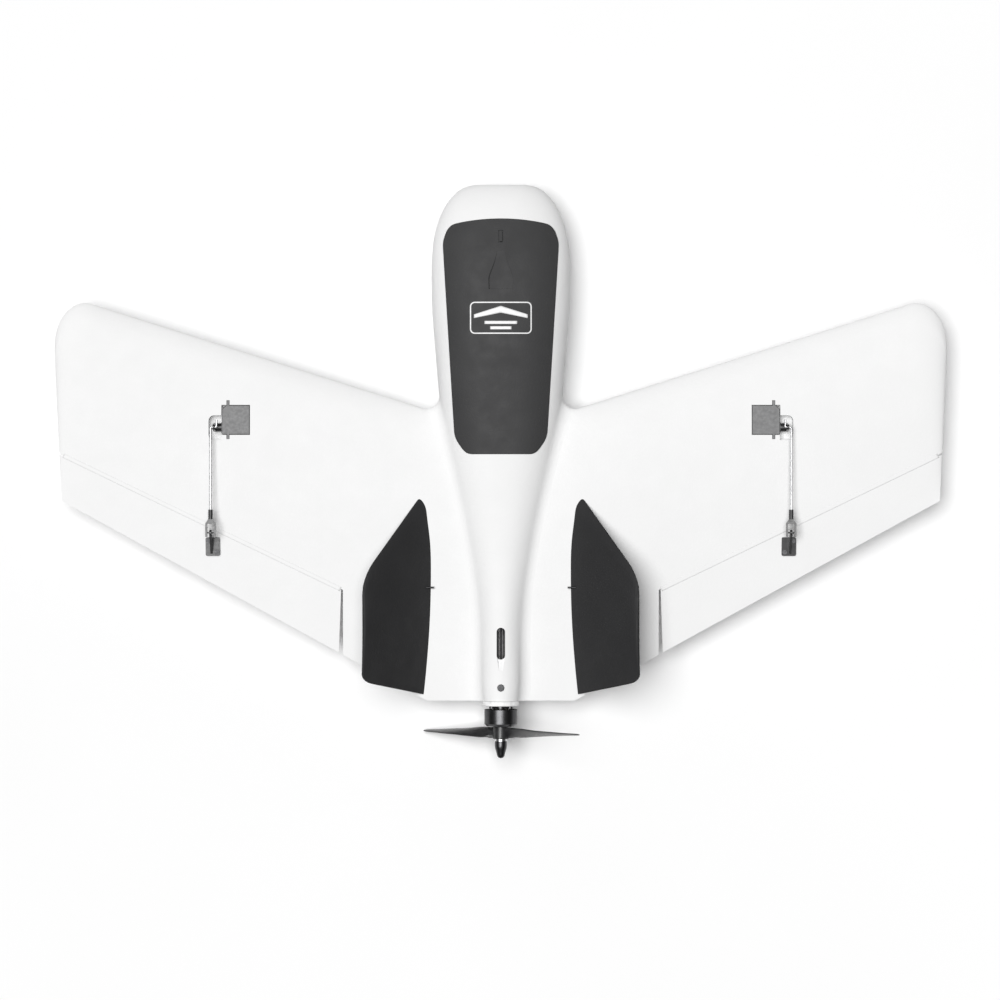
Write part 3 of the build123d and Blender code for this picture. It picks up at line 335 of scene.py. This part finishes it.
def make_label():
    """The printed badge on the hatch: a rounded frame round a swept chevron and two bars."""
    hatch_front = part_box("hatch")[0][1]
    centre = (0.0, hatch_front + BADGE_BACK)
    height = surface_of("hatch")
    outer = rounded_ring(centre, BADGE_HALF, BADGE_CORNER, FRAME_WIDTH / 2)
    inner = rounded_ring(centre, BADGE_HALF, BADGE_CORNER, -FRAME_WIDTH / 2)
    strip_mesh("badge_frame", outer, inner, height, LABEL_LIFT, LABEL_INK, "hatch", "charcoal_foam")
    # the chevron: two swept arms that meet at the centreline, nose forward
    edges = []
    for apex_back, tip_back in (CHEVRON_FRONT, CHEVRON_REAR):
        apex = (0, centre[1] + apex_back)
        tips = [(across * CHEVRON_REACH, centre[1] + tip_back) for across in (-1, 1)]
        edges.append(line_points(tips[0], apex)[:-1] + line_points(apex, tips[1]))
    strip_mesh("badge_chevron", *edges, height, LABEL_LIFT, LABEL_INK, "hatch", "charcoal_foam")
    for index, (back, reach) in enumerate(BARS):
        front, rear = centre[1] + back, centre[1] + back + BAR_DEPTH
        fore = line_points((-reach, front), (reach, front))
        aft = line_points((-reach, rear), (reach, rear))
        strip_mesh(f"badge_bar_{index}", fore, aft, height, LABEL_LIFT, LABEL_INK, "hatch", "charcoal_foam")


def make_hinge_skins():
    """The thin foam skin that joins each elevon to its wing panel."""
    for side in ("port", "starboard"):
        joint = JOINTS[f"{side}_elevon_hinge"]
        at, axis = Vector(joint["pos_m"]), Vector(joint["axis"]).normalized()
        low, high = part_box(f"{side}_elevon")
        inner, outer = (low[0], high[0]) if side == "port" else (high[0], low[0])
        aft_dir = Vector((abs(axis.y), axis.x, 0)).normalized()
        if side == "starboard":
            aft_dir.x = -aft_dir.x
        height = surface_of(f"{side}_wing_panel", f"{side}_elevon")
        fore, aft = [], []
        for k in range(HINGE_STEPS + 1):
            x = inner + (outer - inner) * (HINGE_START + HINGE_SHARE * k / HINGE_STEPS)
            point = at + axis * ((x - at.x) / axis.x)
            fore.append((point.x - aft_dir.x * HINGE_HALF, point.y - aft_dir.y * HINGE_HALF))
            aft.append((point.x + aft_dir.x * HINGE_HALF, point.y + aft_dir.y * HINGE_HALF))
        skin = strip_mesh(
            f"{side}_hinge_skin", fore, aft, height, HINGE_LIFT, WHITE_FOAM, None, "white_foam", bridge=True
        )
        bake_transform(skin)


# ---------------------------------------------------------------- studio
FLOOR_HALF = 6
FLOOR_DROP = 0.2 * MM  # keeps the floor clear of the belly
KEY_PLACE = (0.25, -0.12, 1.6)
KEY_ENERGY = 3.25
KEY_SPREAD = math.radians(40)
FILL_STRENGTH = 0.05


def make_studio():
    """A pale floor, a soft high key light, and an even fill."""
    mesh = bpy.data.meshes.new("floor")
    shape = bmesh.new()
    bmesh.ops.create_grid(shape, x_segments=8, y_segments=8, size=FLOOR_HALF)
    shape.to_mesh(mesh)
    shape.free()
    floor = bpy.data.objects.new("floor", mesh)
    bpy.context.scene.collection.objects.link(floor)
    floor_mat = new_material("floor_paper", (0.93, 0.93, 0.93), 0.9)
    tint(floor_mat, ramp(floor_mat, noise(floor_mat, 0.5), 0, 1), (0.92, 0.92, 0.92), (0.94, 0.94, 0.94))
    floor.data.materials.append(floor_mat)
    floor.location.z = -FLOOR_DROP

    key = bpy.data.lights.new("key", "SUN")
    key.energy = KEY_ENERGY
    key.angle = KEY_SPREAD
    key_obj = bpy.data.objects.new("key", key)
    key_obj.location = KEY_PLACE
    key_obj.rotation_euler = (-key_obj.location).to_track_quat("-Z", "Y").to_euler()
    bpy.context.scene.collection.objects.link(key_obj)

    world = bpy.data.worlds.new("studio")
    world.use_nodes = True
    world.node_tree.nodes["Background"].inputs["Color"].default_value = (1, 1, 1, 1)
    world.node_tree.nodes["Background"].inputs["Strength"].default_value = FILL_STRENGTH
    bpy.context.scene.world = world
    bpy.context.scene.view_settings.view_transform = "Standard"


CAMERA_CENTRE = (0.0006, 0.0203)
CAMERA_HEIGHT = 3.3  # above the wing
WIDTH_SEEN = 0.7113


def make_camera():
    """Straight above the wing, nose to the top of the picture."""
    camera = bpy.data.cameras.new("camera")
    camera.sensor_width = 36.0
    camera.lens = camera.sensor_width * CAMERA_HEIGHT / WIDTH_SEEN
    camera.clip_end = 50
    obj = bpy.data.objects.new("camera", camera)
    wing_level = sum(corner[2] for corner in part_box("port_wing_panel")) / 2
    obj.location = (*CAMERA_CENTRE, wing_level + CAMERA_HEIGHT)
    obj.rotation_euler = (0, 0, math.pi)
    bpy.context.scene.collection.objects.link(obj)
    bpy.context.scene.camera = obj


make_camera()
make_studio()
dress_cad_nodes()
make_label()
make_hinge_skins()
